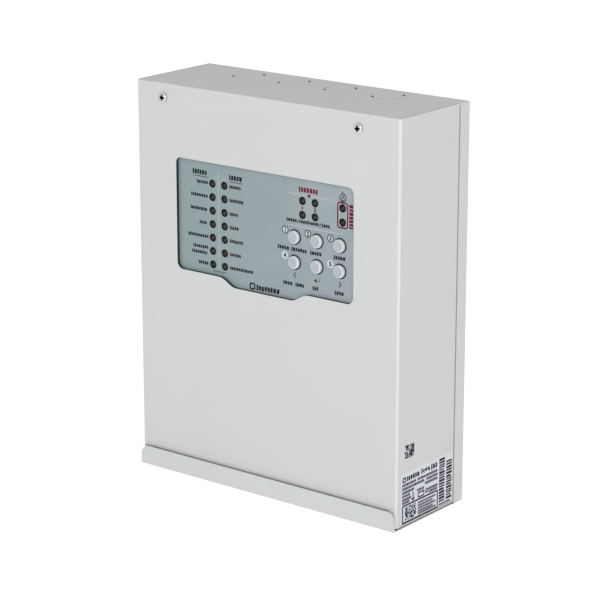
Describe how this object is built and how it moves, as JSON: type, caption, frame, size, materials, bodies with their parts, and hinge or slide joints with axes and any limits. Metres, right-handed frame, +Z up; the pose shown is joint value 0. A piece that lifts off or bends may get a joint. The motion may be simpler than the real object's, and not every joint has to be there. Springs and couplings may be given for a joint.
{
  "type": "fire alarm control panel",
  "caption": "Wall-mounted steel fire alarm control panel with a tilting front cover, a recessed indicator display, push buttons, boards, power supply and standby batteries.",
  "frame": {"origin": "centre of the back face, where the panel meets the wall", "axes": "+X right as seen from the front, -Y out of the front of the panel, +Y into the wall, +Z up"},
  "size_m": [0.2701, 0.096, 0.336],
  "materials": {
    "sheet_paint": "fine orange-peel powder coat, light grey",
    "zinc_steel": "zinc plated sheet",
    "screw_steel": "bright plated",
    "brass": "plain brass",
    "film": "printed polyester film",
    "circuit_board": "solder resist over laminate",
    "lamp_green": "dark tinted lamp, unlit",
    "lamp_yellow": "dark tinted lamp, unlit",
    "lamp_red": "dark tinted lamp, unlit",
    "button_cap": "moulded light grey cap",
    "black_plastic": "black moulding",
    "chip_black": "moulded epoxy",
    "ribbon": "grey ribbed insulation",
    "terminal_green": "green moulding",
    "relay_blue": "dark blue moulding",
    "capacitor_sleeve": "printed sleeve and bare top",
    "fuse_glass": "glass with plated end caps",
    "bare_aluminium": "extruded",
    "winding_yellow": "wound core in yellow tape",
    "terminal_cream": "cream moulding",
    "seal_foam": "fine closed-cell foam",
    "grommet_rubber": "soft black rubber",
    "battery_grey": "dark grey moulded tub",
    "wire_red": "insulation",
    "wire_black": "insulation",
    "wire_brown": "insulation",
    "wire_blue": "insulation",
    "wire_green_yellow": "green insulation with a yellow stripe",
    "sticker": "printed sticker"
  },
  "bodies": {
    "case": {"rear_box": "sheet_paint", "nut_brackets": "zinc_steel", "display_chassis": "zinc_steel", "psu_case": "zinc_steel", "psu_lid": "zinc_steel", "battery_bracket": "zinc_steel", "fuse_clips": "zinc_steel", "chassis_screws": "screw_steel", "display_screws": "screw_steel", "board_spacers": "screw_steel", "main_board_screws": "screw_steel", "terminal_screws": "screw_steel", "psu_screws": "screw_steel", "bracket_screws": "screw_steel", "main_board_standoffs": "brass", "earth_stud": "brass", "battery_tabs": "brass", "overlay_film": "film", "display_board": "circuit_board", "main_board": "circuit_board", "psu_board": "circuit_board", "leds_green": "lamp_green", "leds_yellow": "lamp_yellow", "leds_red": "lamp_red", "tact_switches": "black_plastic", "buzzer": "black_plastic", "ribbon_headers": "black_plastic", "ribbon_sockets": "black_plastic", "psu_terminals": "black_plastic", "display_chips": "chip_black", "main_chips": "chip_black", "power_transistor": "chip_black", "ribbon_cable": "ribbon", "field_terminals": "terminal_green", "relays": "relay_blue", "capacitors": "capacitor_sleeve", "glass_fuses": "fuse_glass", "heatsink": "bare_aluminium", "psu_transformer": "winding_yellow", "mains_terminal_block": "terminal_cream", "window_seal": "seal_foam", "cable_grommet": "grommet_rubber", "battery_front": "battery_grey", "battery_rear": "battery_grey", "red_leads": "wire_red", "black_leads": "wire_black", "live_lead": "wire_brown", "neutral_lead": "wire_blue", "earth_leads": "wire_green_yellow"},
    "cover": {"front_cover": "sheet_paint", "rating_label": "sticker", "code_sticker": "sticker"},
    "left_cover_screw": {"cover_screw_left": "screw_steel"},
    "right_cover_screw": {"cover_screw_right": "screw_steel"},
    "button_1_cap": {"button_1": "button_cap"},
    "button_2_cap": {"button_2": "button_cap"},
    "button_3_cap": {"button_3": "button_cap"},
    "button_4_cap": {"button_4": "button_cap"},
    "button_5_cap": {"button_5": "button_cap"},
    "button_6_cap": {"button_6": "button_cap"}
  },
  "joints": [
    {"name": "cover_tilt", "type": "hinge", "parent": "case", "child": "cover", "pos_m": [0, -0.0954, -0.1516], "axis": [1, 0, 0], "range_deg": [0, 90]},
    {"name": "left_screw_out", "type": "slide", "parent": "cover", "child": "left_cover_screw", "axis": [0, -1, 0], "range_m": [0, 0.009]},
    {"name": "right_screw_out", "type": "slide", "parent": "cover", "child": "right_cover_screw", "axis": [0, -1, 0], "range_m": [0, 0.009]},
    {"name": "button_1_press", "type": "slide", "parent": "case", "child": "button_1_cap", "axis": [0, 1, 0], "range_m": [0, 0.0005], "stiffness_N_per_m": 2000},
    {"name": "button_2_press", "type": "slide", "parent": "case", "child": "button_2_cap", "axis": [0, 1, 0], "range_m": [0, 0.0005], "stiffness_N_per_m": 2000},
    {"name": "button_3_press", "type": "slide", "parent": "case", "child": "button_3_cap", "axis": [0, 1, 0], "range_m": [0, 0.0005], "stiffness_N_per_m": 2000},
    {"name": "button_4_press", "type": "slide", "parent": "case", "child": "button_4_cap", "axis": [0, 1, 0], "range_m": [0, 0.0005], "stiffness_N_per_m": 2000},
    {"name": "button_5_press", "type": "slide", "parent": "case", "child": "button_5_cap", "axis": [0, 1, 0], "range_m": [0, 0.0005], "stiffness_N_per_m": 2000},
    {"name": "button_6_press", "type": "slide", "parent": "case", "child": "button_6_cap", "axis": [0, 1, 0], "range_m": [0, 0.0005], "stiffness_N_per_m": 2000}
  ]
}
